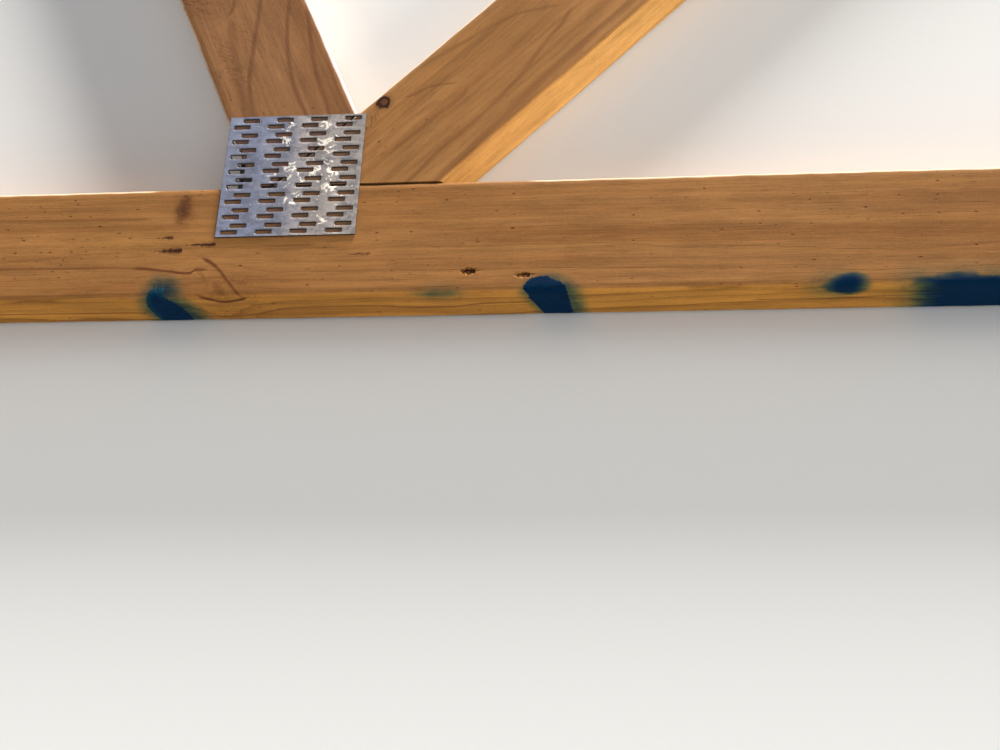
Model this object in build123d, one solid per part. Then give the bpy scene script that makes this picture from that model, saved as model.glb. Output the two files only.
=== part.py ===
from build123d import *
import os
from math import atan2, cos, degrees, radians, sin, tan

# A prefabricated W roof truss of machined softwood, fastened with pressed nail plates.
# It lies on its side: X runs along the span, Y up the truss and Z out of the upper face.
# The datum is the bottom chord's lower edge at midspan, under the back plates.

# Timber, one section for every member
timber_depth = 90.0
timber_thickness = 35.0
arris_radius = 3.0
saw_gap = 0.5

# Outline of the truss
span = 5400.0
pitch = 22.5
heel_butt = 12.0

# Where the webs' centre lines meet, measured from midspan and from the datum
panel_point_x = 984.0
panel_point_y = 72.0
strut_lean = 24.4
tie_aim_drop = 43.0

# Nail plates: a sheet stamped with pairs of slots on a fixed module
plate_thickness = 1.0
module_length = 25.4
module_width = 12.7
slot_length = 11.0
slot_width = 3.0
slot_stagger_x = 3.2
slot_stagger_y = 2.7

# Plate sizes, along the slots and across them, and how each sits at its joint
heel_plate_length = 127.0
heel_plate_width = 76.2
panel_plate_length = 101.6
panel_plate_width = 101.6
panel_plate_shift = 30.0
panel_plate_bite = 42.0
head_plate_length = 50.8
head_plate_width = 50.8
apex_plate_length = 101.6
apex_plate_width = 76.2
apex_plate_bite = 28.0

# Values worked out from the sizes above
half_span = span / 2
slope = tan(radians(pitch))
plumb_depth = timber_depth / cos(radians(pitch))
plumb_gap = saw_gap / cos(radians(pitch))
underside_at_apex = heel_butt + plumb_gap + half_span * slope
apex_height = underside_at_apex + plumb_depth
timber_base = plate_thickness
timber_middle = timber_base + timber_thickness / 2
timber_face = timber_base + timber_thickness


def timber(start, end):
    """A machined length of timber, flat on its side, centred on the line from start to end."""
    run_x, run_y = end[0] - start[0], end[1] - start[1]
    length = (run_x**2 + run_y**2) ** 0.5
    along = Plane(
        origin=(start[0], start[1], timber_middle),
        x_dir=(0, 0, 1),
        z_dir=(run_x, run_y, 0),
    )
    section = RectangleRounded(timber_thickness, timber_depth, arris_radius)
    return extrude(along * section, length)


def saw_room(corners):
    """A prism through the timber's thickness, which keeps what a saw leaves of a member."""
    sheet = make_face(Polyline(*corners, close=True))
    return extrude(sheet, 2 * timber_thickness, both=True)


def underside(x, clearance=0.0):
    """Height of the left top chord's underside at x, less a clearance square to it."""
    return heel_butt + plumb_gap - clearance / cos(radians(pitch)) + (x + half_span) * slope


def crossing(point_a, angle_a, point_b, angle_b):
    """Where two lines meet, each given by a point and its angle from +X in degrees."""
    ax, ay = cos(radians(angle_a)), sin(radians(angle_a))
    bx, by = cos(radians(angle_b)), sin(radians(angle_b))
    gap_x, gap_y = point_b[0] - point_a[0], point_b[1] - point_a[1]
    reach = (gap_x * by - gap_y * bx) / (ax * by - ay * bx)
    return point_a[0] + reach * ax, point_a[1] + reach * ay


def beside(point, angle, offset):
    """The point moved to the left of a line that runs at this angle."""
    return point[0] - offset * sin(radians(angle)), point[1] + offset * cos(radians(angle))


def onward(point, angle, distance):
    """The point moved along a line that runs at this angle."""
    return point[0] + distance * cos(radians(angle)), point[1] + distance * sin(radians(angle))


def mirrored(piece):
    """The same piece on the right half of the truss."""
    return mirror(piece, about=Plane.YZ)


# Chords
def make_bottom_chord():
    """The ceiling chord: butted ends below, sawn to the pitch above for the top chords."""
    bar = timber((-half_span, timber_depth / 2), (half_span, timber_depth / 2))
    scarf = timber_depth / slope
    outline = [
        (-half_span, -timber_depth),
        (half_span, -timber_depth),
        (half_span, heel_butt),
        (half_span - scarf, heel_butt + timber_depth),
        (-half_span + scarf, heel_butt + timber_depth),
        (-half_span, heel_butt),
    ]
    return bar & saw_room(outline)


def make_left_top_chord():
    """A rafter chord: plumb cut at the heel and at midspan, half a saw gap short there."""
    reach = timber_depth
    low = beside((-half_span, underside(-half_span)), pitch, timber_depth / 2)
    high = beside((0, underside(0)), pitch, timber_depth / 2)
    bar = timber(onward(low, pitch, -reach), onward(high, pitch, reach))
    room = [
        (-half_span, -timber_depth),
        (-saw_gap / 2, -timber_depth),
        (-saw_gap / 2, apex_height + timber_depth),
        (-half_span, apex_height + timber_depth),
    ]
    return bar & saw_room(room)


# Webs of the left half: both stand on the bottom chord and are sawn to fit the triangle
panel_point = (-panel_point_x, panel_point_y)
tie_aim = (0.0, underside_at_apex - tie_aim_drop)
tie_angle = degrees(atan2(tie_aim[1] - panel_point[1], tie_aim[0] - panel_point[0]))
strut_angle = 90 + strut_lean
strut_head = crossing(panel_point, strut_angle, (-half_span, underside(-half_span)), pitch)
web_foot = timber_depth + saw_gap


def make_left_tie():
    """The long web, from the bottom chord to the apex, where it meets its twin."""
    reach = 3 * timber_depth
    bar = timber(onward(panel_point, tie_angle, -reach), onward(tie_aim, tie_angle, reach))
    room = [
        (-half_span, web_foot),
        (-saw_gap / 2, web_foot),
        (-saw_gap / 2, underside(-saw_gap / 2, saw_gap)),
        (-half_span, underside(-half_span, saw_gap)),
    ]
    return bar & saw_room(room)


def make_left_strut():
    """The short web, cut along the tie's upper edge at its foot and to the pitch at its head."""
    bar = timber(
        onward(panel_point, strut_angle, -timber_depth),
        onward(strut_head, strut_angle, timber_depth),
    )
    tie_edge = beside(panel_point, tie_angle, timber_depth / 2 + saw_gap)
    seam_foot = crossing(tie_edge, tie_angle, (0, web_foot), 0)
    seam_head = crossing(tie_edge, tie_angle, (-half_span, underside(-half_span, saw_gap)), pitch)
    room = [
        (-half_span, web_foot),
        seam_foot,
        seam_head,
        (-half_span, underside(-half_span, saw_gap)),
    ]
    return bar & saw_room(room)


# Nail plates
def make_plate(length, width, centre, angle, base):
    """A flat plate with its slots, turned in its plane, with its underside at base."""
    columns, rows = round(length / module_length), round(width / module_width)
    sheet = Rectangle(length, width)
    slot = Rectangle(slot_length, slot_width)
    pair = [
        Pos(slot_stagger_x, slot_stagger_y) * slot,
        Pos(-slot_stagger_x, -slot_stagger_y) * slot,
    ]
    grid = GridLocations(module_length, module_width, columns, rows)
    sheet -= [place * hole for place in grid for hole in pair]
    flat = extrude(sheet, plate_thickness)
    return Pos(centre[0], centre[1], base) * Rot(0, 0, angle) * flat


heel_seam_middle = -half_span + (timber_depth - heel_butt) / slope / 2
plate_seats = {
    "heel": (
        (heel_plate_length, heel_plate_width),
        (heel_seam_middle, underside(heel_seam_middle)),
        0.0,
    ),
    "panel": (
        (panel_plate_length, panel_plate_width),
        (
            -panel_point_x - panel_plate_shift,
            timber_depth - panel_plate_bite + panel_plate_width / 2,
        ),
        0.0,
    ),
    "head": (
        (head_plate_length, head_plate_width),
        strut_head,
        pitch,
    ),
    "apex": (
        (apex_plate_length, apex_plate_width),
        (0.0, underside_at_apex + apex_plate_bite - apex_plate_width / 2),
        0.0,
    ),
}


def plates_at(joint):
    """The plates of one joint: one pressed into each face, at both ends of the truss."""
    (length, width), centre, angle = plate_seats[joint]
    faces = {"front": timber_face, "back": timber_base - plate_thickness}
    for face, base in faces.items():
        left = make_plate(length, width, centre, angle, base)
        if joint == "apex":
            yield f"nail_plate_apex_{face}", left
        else:
            yield f"nail_plate_{joint}_left_{face}", left
            yield f"nail_plate_{joint}_right_{face}", mirrored(left)


def build():
    """Every piece of the truss by name, before it is centred on its own box."""
    pieces = {"bottom_chord": make_bottom_chord()}
    for name, left in (
        ("top_chord", make_left_top_chord()),
        ("tie", make_left_tie()),
        ("strut", make_left_strut()),
    ):
        pieces[f"{name}_left"] = left
        pieces[f"{name}_right"] = mirrored(left)
    for joint in plate_seats:
        pieces.update(plates_at(joint))
    return pieces


os.makedirs("parts", exist_ok=True)
to_centre = Pos(0, -apex_height / 2, 0)
for name, piece in build().items():
    export_step(to_centre * piece, f"parts/{name}.step")
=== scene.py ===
import math

import bpy
import numpy as np
from mathutils import Euler, Matrix, Vector


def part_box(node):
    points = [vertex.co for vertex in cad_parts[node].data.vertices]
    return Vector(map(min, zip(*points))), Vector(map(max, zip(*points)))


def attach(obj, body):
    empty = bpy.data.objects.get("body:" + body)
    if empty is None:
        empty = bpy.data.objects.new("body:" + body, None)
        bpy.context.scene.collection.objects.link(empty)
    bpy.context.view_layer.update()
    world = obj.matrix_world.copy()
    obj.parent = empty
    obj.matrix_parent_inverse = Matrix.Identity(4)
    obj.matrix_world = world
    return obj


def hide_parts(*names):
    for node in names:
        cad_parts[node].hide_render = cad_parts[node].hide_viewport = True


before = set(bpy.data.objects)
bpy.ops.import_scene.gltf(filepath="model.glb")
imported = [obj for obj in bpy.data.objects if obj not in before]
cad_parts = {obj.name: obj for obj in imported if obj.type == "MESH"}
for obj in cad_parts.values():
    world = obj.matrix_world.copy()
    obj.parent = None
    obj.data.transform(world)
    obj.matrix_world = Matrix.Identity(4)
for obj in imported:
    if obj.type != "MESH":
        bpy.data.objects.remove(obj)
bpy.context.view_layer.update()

# Bottom chord
# A length of machined pine, 90 by 35 mm, planed with rounded arrises. Its ends are sawn to the
# pitch for the top chords, and marks of dark blue paint run along its lower edge.
timber_depth = 0.090
timber_thickness = 0.035
arris_radius = 0.003
timber_base = 0.001
span = 5.400
pitch = 22.5
heel_butt = 0.012
saw_gap = 0.0005
half_span = span / 2
flat_half = timber_depth / 2 - arris_radius
slope = math.tan(math.radians(pitch))
lean_share = math.cos(math.radians(pitch))
plumb_gap = saw_gap / lean_share
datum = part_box("bottom_chord")[0].y
millimetres = 1000

# The widest step along a timber, the finer ones along and across a torn spot, and how far the
# arrises are worn, dented and bowed
coarse_step = 0.02
torn_step = 0.0007
torn_row_step = 0.0005
wear_depth = 0.0002
dent_depth = 0.0006
bow_height = 0.00007

# Where the webs' centre lines meet and how the strut leans, and the nail plates: their module,
# how far left of the webs the panel plate sits, and how far it and the apex plate reach over the
# chords' edges
panel_point = (-0.984, 0.072)
strut_lean = 24.4
strut_angle = 90 + strut_lean
module_length = 0.0254
module_width = 0.0127
sheet_thickness = 0.001
panel_plate_shift = 0.030
panel_plate_bite = 0.042
apex_plate_bite = 0.028


def underside(x, clearance=0.0):
    """Height of the left top chord's underside at x, less a clearance square to it."""
    return heel_butt + plumb_gap - clearance / lean_share + (x + half_span) * slope


def crossing(point, angle, other, other_angle):
    """Where two lines meet, each given by a point and its angle."""
    ax, ay = math.cos(math.radians(angle)), math.sin(math.radians(angle))
    bx, by = math.cos(math.radians(other_angle)), math.sin(math.radians(other_angle))
    gap_x, gap_y = other[0] - point[0], other[1] - point[1]
    reach = (gap_x * by - gap_y * bx) / (ax * by - ay * bx)
    return point[0] + reach * ax, point[1] + reach * ay


# Each joint's plate: columns and rows of the module, centre, and angle
heel_middle = -half_span + (timber_depth - heel_butt) / slope / 2
strut_head = crossing(panel_point, strut_angle, (-half_span, underside(-half_span)), pitch)
plate_seats = {
    "panel": (4, 8, (panel_point[0] - panel_plate_shift,
                     timber_depth - panel_plate_bite + 4 * module_width), 0.0),
    "heel": (5, 6, (heel_middle, underside(heel_middle)), 0.0),
    "head": (2, 4, strut_head, pitch),
    "apex": (4, 6, (0.0, underside(0.0) + apex_plate_bite - 3 * module_width), 0.0),
}


def cut(x, y, angle):
    """A saw cut through (x, y) at this angle: what lies to its left stays. It is kept as the
    unit direction off the timber, and how far the line lies along that direction."""
    away_x, away_y = math.sin(math.radians(angle)), -math.cos(math.radians(angle))
    return away_x, away_y, away_x * x + away_y * y


def mirrored(origin, angle, cuts):
    """The same line and cuts on the right half of the truss: X changes its sign."""
    turned = [(-away_x, away_y, reach) for away_x, away_y, reach in cuts]
    return (-origin[0], origin[1]), 180 - angle, turned


def drift(along, seed, wavelengths):
    """An even wander between about -1 and 1: a sum of sines of these wavelengths, each with its
    own start from the seed, over the square root of how many there are."""
    starts = np.random.default_rng(seed).uniform(0, 2 * math.pi, len(wavelengths))
    waves = [np.sin(2 * math.pi * along / w + s) for w, s in zip(wavelengths, starts)]
    return sum(waves) / math.sqrt(len(wavelengths))


def stations(first, last, zones):
    """Places along a timber: even coarse steps, and finer ones within each (from, to, step), with
    none closer to its ends than 0.4 of a coarse step."""
    places = np.arange(first, last, coarse_step)
    for start, end, step in zones:
        places = places[(places < start - step) | (places > end + step)]
        places = np.concatenate([places, np.arange(max(start, first), min(end, last), step)])
    places = np.unique(np.round(places, 7))
    margin = 0.4 * coarse_step
    keep = (places > first + margin) & (places < last - margin)
    return np.concatenate([[first], places[keep], [last]])


def section(face_rows):
    """The timber's section as a grid. Rows run across it: flat rows, and beyond them the arris
    radius times the sine of the turn round it. Columns run from the front face to the back one,
    which both lie further in there, by the radius times one less the cosine of that turn."""
    turn = np.radians([22.5, 45.0, 67.5, 90.0])
    out = flat_half + arris_radius * np.sin(turn)
    drop = arris_radius * (1 - np.cos(turn))
    across = np.concatenate([-out[::-1], face_rows, out])
    inward = np.concatenate([drop[::-1], np.zeros(len(face_rows)), drop])
    share = np.linspace(0, 1, 11)
    a = across[:, None] + 0 * share
    b = (timber_thickness - inward)[:, None] * (1 - share) + inward[:, None] * share
    return a, b


def ends_along(origin, angle, cuts, a):
    """Where the timber starts and ends along its line, at each place a across it: the nearest of
    the cuts behind and of the cuts ahead, each met where its line crosses that place."""
    turn = math.radians(angle)
    first, last = np.full(np.shape(a), -9.0), np.full(np.shape(a), 9.0)
    for away_x, away_y, reach in cuts:
        ahead = away_x * math.cos(turn) + away_y * math.sin(turn)
        sideways = -away_x * math.sin(turn) + away_y * math.cos(turn)
        met = (reach - away_x * origin[0] - away_y * origin[1] - a * sideways) / ahead
        if ahead > 0:
            last = np.minimum(last, met)
        else:
            first = np.maximum(first, met)
    return first, last


def kinks(origin, angle, cuts):
    """The places across the timber where an end turns from one cut to the next."""
    a = np.linspace(-timber_depth / 2, timber_depth / 2, 1801)
    found = []
    for end in ends_along(origin, angle, cuts, a):
        bend = np.abs(np.diff(end, 2)) > 1e-7
        found += [a[1:-1][bend].mean()] if bend.any() else []
    return [place for place in found if abs(place) < flat_half - 0.0005]


def to_mesh(name, points, faces):
    """A mesh object of these points and four-sided faces, smooth where it turns by under 40°."""
    mesh = bpy.data.meshes.new(name)
    mesh.vertices.add(len(points))
    mesh.vertices.foreach_set("co", np.asarray(points, np.float32).ravel())
    mesh.loops.add(faces.size)
    mesh.loops.foreach_set("vertex_index", faces.astype(np.int32).ravel())
    mesh.polygons.add(len(faces))
    mesh.polygons.foreach_set("loop_start", np.arange(0, faces.size, 4, dtype=np.int32))
    mesh.polygons.foreach_set("use_smooth", np.ones(len(faces), bool))
    mesh.update(calc_edges=True)
    mesh.validate()
    mesh.set_sharp_from_angle(angle=math.radians(40))
    piece = bpy.data.objects.new(name, mesh)
    bpy.context.scene.collection.objects.link(piece)
    return piece


def keep_at_points(piece, name, values):
    """Keeps one value a point in the piece's mesh, where its material reads it."""
    layer = piece.data.attributes.new(name, "FLOAT", "POINT")
    layer.data.foreach_set("value", values.astype(np.float32))


def between(first, second, turned=False):
    """Four-sided faces from closed rows of point numbers to the rows after them: each has two
    neighbours of the one row and the same two of the other. Turned ones face the other way."""
    faces = np.stack([first, second, np.roll(second, -1, -1), np.roll(first, -1, -1)], -1)
    return faces.reshape(-1, 4)[:, [0, 3, 2, 1] if turned else [0, 1, 2, 3]]


def timber(name, origin, angle, cuts, row_step, zones=(), torn=(), seed=1):
    """A timber with its line from origin at this angle. The section's rim is carried along it,
    from cut to cut, with worn arrises and torn spots, and a section grid closes each end.
    Returns the object and its points as places along, across and up through the timber."""
    rows = np.linspace(-flat_half, flat_half, round(2 * flat_half / row_step) + 1)
    for place in kinks(origin, angle, cuts):
        rows[1:-1][np.argmin(np.abs(rows[1:-1] - place))] = place
    for _, spot_a, _, half_width, _ in torn:
        near = (rows > spot_a - 2 * half_width) & (rows < spot_a + 2 * half_width)
        finer = np.arange(spot_a - 2 * half_width, spot_a + 2 * half_width, torn_row_step)
        rows = np.sort(np.concatenate([rows[~near], finer]))
    a, b = section(rows)
    first, last = ends_along(origin, angle, cuts, a)
    nearest, farthest = first.min(), last.max()
    zones = list(zones) + [(u - half, u + half, torn_step) for u, _, half, _, _ in torn]
    line = stations(nearest, farthest, zones)
    index = np.arange(a.size).reshape(a.shape)
    rim = np.concatenate([index[:, 0], index[-1, 1:], index[-2::-1, -1], index[0, -2:0:-1]])

    # The points: both end grids, and then the rim at each station between them
    grid_count = a.size
    body = np.tile(rim, len(line) - 2)
    which = np.concatenate([index.ravel(), index.ravel(), body])
    places = np.concatenate([
        np.full(grid_count, line[0]), np.full(grid_count, line[-1]), np.repeat(line[1:-1], len(rim)),
    ])

    # Along: the station, drawn in near both ends by how far the cut lies from the tip
    reach = min(0.5, (farthest - nearest) / 2)
    at_first = np.clip(1 - (places - nearest) / reach, 0, 1)
    at_last = np.clip(1 - (farthest - places) / reach, 0, 1)
    u = places + (first.ravel()[which] - nearest) * at_first + (last.ravel()[which] - farthest) * at_last
    a, b = a.ravel()[which], b.ravel()[which]
    rings = 2 * grid_count + np.arange(len(body)).reshape(-1, len(rim))
    rings = np.concatenate([rim[None], rings, grid_count + rim[None]])
    sides = between(rings[:-1], rings[1:])
    start = np.stack([index[:-1, :-1], index[1:, :-1], index[1:, 1:], index[:-1, 1:]], 2)
    start = start.reshape(-1, 4)
    faces = np.concatenate([sides, start, start[:, ::-1] + grid_count])

    # Worn arrises: drawn in most in the middle of the arc, by a share that wanders along them
    corner_a = np.clip((np.abs(a) - flat_half) / arris_radius, 0, 1)
    middle = timber_thickness / 2
    corner_b = np.clip((np.abs(b - middle) - middle + arris_radius) / arris_radius, 0, 1)
    side = np.sign(a) + 2 * np.sign(b - middle)
    wear = wear_depth * (1 + drift(u + side * 0.7, seed, (0.31, 0.113, 0.047, 0.021)))
    wear = wear + dent_depth * np.clip(drift(u + side, seed + 5, (0.83, 0.27, 0.061)) - 1.05, 0, 1)
    bow = bow_height * drift(u + side, seed + 9, (0.9, 0.41, 0.17))
    a_worn = a - np.sign(a) * corner_a * corner_b * wear
    b_worn = b - np.sign(b - middle) * (corner_a * corner_b * wear - bow)
    # Torn spots: the face drops by the root of how far inside the ragged outline a point lies
    for spot_u, spot_a, half_length, half_width, depth in torn:
        ragged = 0.25 * drift(u * 3 + a, seed + 20, (0.011, 0.0046, 0.0023))
        out = np.hypot((u - spot_u) / half_length, (a - spot_a) / half_width) + ragged
        b_worn = b_worn - (b > middle) * depth * np.sqrt(np.clip(1 - out, 0, 1))
    turn = math.radians(angle)
    points = np.stack([
        origin[0] + u * math.cos(turn) - a_worn * math.sin(turn),
        origin[1] + u * math.sin(turn) + a_worn * math.cos(turn) + datum,
        timber_base + b_worn,
    ], 1)
    return to_mesh(name, points, faces), u, a, b


def tone(red, green, blue):
    """A colour given in the 0 to 255 of a picture, as the linear values that a shader takes."""
    shares = (c / 255 for c in (red, green, blue))
    linear = [s / 12.92 if s <= 0.04045 else ((s + 0.055) / 1.055) ** 2.4 for s in shares]
    return (*linear, 1.0)


class Finish:
    """A material, or the world, and the sums that its nodes work out. A material's colour,
    roughness and relief are kept here while they are built up."""

    def __init__(self, holder):
        holder.use_nodes = True
        self.holder = holder
        self.tree = holder.node_tree
        self.colour = self.rough = self.rise = None

    def plug(self, node, sockets):
        """Links an output to each of these inputs of a node, or sets the input's value."""
        for key, value in sockets.items():
            if isinstance(value, bpy.types.NodeSocket):
                self.tree.links.new(value, node.inputs[key])
            else:
                node.inputs[key].default_value = value

    def surfaced(self, height, strength, others):
        """The material, once its surface has its colour, its roughness, its relief of this height
        in metres and this strength, and these other inputs."""
        relief = {"Height": self.rise, "Distance": height, "Strength": strength}
        bump = self.node("Bump", relief).outputs[0]
        sockets = {"Base Color": self.colour, "Roughness": self.rough, "Normal": bump, **others}
        self.plug(self.tree.nodes["Principled BSDF"], sockets)
        return self.holder

    def node(self, kind, sockets=None, **settings):
        """A node of this kind with its settings, and its inputs given or linked."""
        made = self.tree.nodes.new("ShaderNode" + kind)
        for setting, value in settings.items():
            setattr(made, setting, value)
        self.plug(made, sockets or {})
        return made

    def sum(self, operation, first, second=0.0, third=0.0, clamp=False):
        """One step of arithmetic."""
        sockets = {0: first, 1: second, 2: third}
        return self.node("Math", sockets, operation=operation, use_clamp=clamp).outputs[0]

    def minus(self, first, second):
        """The first less the second."""
        return self.sum("SUBTRACT", first, second)

    def apart(self, first, second):
        """How far two values lie apart, either way round."""
        return self.sum("ABSOLUTE", self.minus(first, second))

    def times(self, first, *others):
        """All of these multiplied."""
        for other in others:
            first = self.sum("MULTIPLY", first, other)
        return first

    def plus(self, base, *layers):
        """The base, plus each layer times the share that is given after it."""
        for layer, share in zip(layers[::2], layers[1::2]):
            base = self.sum("MULTIPLY_ADD", layer, share, base)
        return base

    def swayed(self, base, *noises):
        """The base, pushed both ways: each noise, less its middle of a half, times the amount
        that is given after it, is added."""
        for noise, amount in zip(noises[::2], noises[1::2]):
            base = self.plus(base, self.minus(noise, 0.5), amount)
        return base

    def ease(self, value, low, high, start=0.0, end=1.0):
        """Start below low and end above high, with a smooth step between."""
        sockets = {0: value, 1: low, 2: high, 3: start, 4: end}
        return self.node("MapRange", sockets, interpolation_type="SMOOTHSTEP").outputs[0]

    def mix(self, share, first, second, blend="MIX"):
        """Two colours mixed by a share."""
        sockets = {0: share, 6: first, 7: second}
        return self.node("Mix", sockets, data_type="RGBA", blend_type=blend).outputs[2]

    def stain(self, share, colour, blend="MIX"):
        """Lays a colour over the one so far, by a share."""
        self.colour = self.mix(share, self.colour, colour, blend)

    def joined(self, *parts):
        """A vector of these parts, or of one part three times."""
        parts = parts * 3 if len(parts) == 1 else parts
        return self.node("CombineXYZ", dict(enumerate(parts))).outputs[0]

    def split(self, vector):
        """The three parts of a vector."""
        return self.node("SeparateXYZ", {0: vector}).outputs

    def vector(self, operation, *values):
        """One step of arithmetic on vectors. A length or a dot product comes out as a number."""
        made = self.node("VectorMath", dict(enumerate(values)), operation=operation)
        return made.outputs["Value" if operation in ("LENGTH", "DOT_PRODUCT") else "Vector"]

    def read(self, name):
        """What the mesh keeps at its points under this name."""
        return self.node("Attribute", attribute_name=name).outputs["Fac"]

    def moved(self, where, location=(0, 0, 0), turn=0.0, scale=(1, 1, 1), kind="POINT"):
        """Places turned, scaled and shifted by a Mapping node."""
        sockets = {0: where, 1: location, 2: (0.0, 0.0, turn), 3: scale}
        return self.node("Mapping", sockets, vector_type=kind).outputs[0]

    def noise(self, where, grain, detail=2.0, rough=0.5, shift=0.0):
        """Noise with features of about these lengths along the three ways, in millimetres."""
        sizes = tuple(1 / g for g in grain)
        place = self.moved(where, (shift, 0.37 * shift, 0.11 * shift), 0.0, sizes)
        sockets = {"Vector": place, "Scale": 1.0, "Detail": detail, "Roughness": rough}
        return self.node("TexNoise", sockets).outputs[0]

    def ramp(self, value, stops):
        """A grey ramp through these (position, level) stops."""
        made = self.node("ValToRGB", {0: value})
        marks = made.color_ramp.elements
        while len(marks) < len(stops):
            marks.new(1.0)
        for mark, (position, level) in zip(marks, stops):
            mark.position = position
            mark.color = (level, level, level, 1.0)
        return made.outputs[0]

    def line(self, along, across, points, half, wobble):
        """How near each place lies to a line through these (along, across) points: 1 within 0.3
        of its half width, and 0 past 1.4 of it. Over its last 8 mm at both ends, or its last third
        where it is short, it gets thin and fades out."""
        first, last = points[0][0], points[-1][0]
        low, high = min(a for _, a in points) - 1, max(a for _, a in points) + 1
        run = self.sum("DIVIDE", self.minus(along, first), last - first)
        track = self.node("FloatCurve", {1: run})
        marks = track.mapping.curves[0].points
        while len(marks) < len(points):
            marks.new(0.5, 0.5)
        for mark, (u, a) in zip(marks, points):
            mark.location = ((u - first) / (last - first), (a - low) / (high - low))
        track.mapping.update()
        middle = self.plus(low, track.outputs[0], high - low)
        off = self.sum("ABSOLUTE", self.sum("ADD", self.minus(across, middle), wobble))
        fade = min(0.35, 8 / (last - first))
        ends = self.times(self.ease(run, 0.0, fade), self.ease(run, 1.0, 1 - fade))
        off = self.sum("DIVIDE", off, self.plus(0.3, ends, 0.7))
        return self.times(self.ease(off, 1.4 * half, 0.3 * half), ends)

    def spot(self, where, centre, half, turn=0.0):
        """How far each place lies from a spot's centre, in its own half lengths."""
        return self.vector("LENGTH", self.moved(where, centre, turn, half, kind="TEXTURE"))


pine_pale, pine_late = tone(153, 105, 60), tone(104, 66, 36)
# Paler, warmer tones for the narrow edges: painted light, standing in for light that falls on them
lit_edge_pale, lit_edge_late = tone(201, 139, 62), tone(116, 72, 31)
red_heart, gold_sap = tone(130, 83, 42), tone(158, 114, 56)
figure_brown, knot_body = tone(104, 62, 34), tone(98, 56, 34)
knot_core, knot_bark = tone(46, 22, 14), tone(26, 10, 6)
resin, pore = tone(44, 20, 14), tone(62, 32, 18)
# A painted highlight for the upper arris, and painted shade for the wood seen through the plates' slots
painted_arris_highlight, slot_shade = tone(214, 192, 166), tone(140, 104, 80)
# Painted light that brightens the lower front arris, where it falls dark between the lights
painted_light_gain = (1.35, 1.33, 1.25, 1.0)


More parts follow.
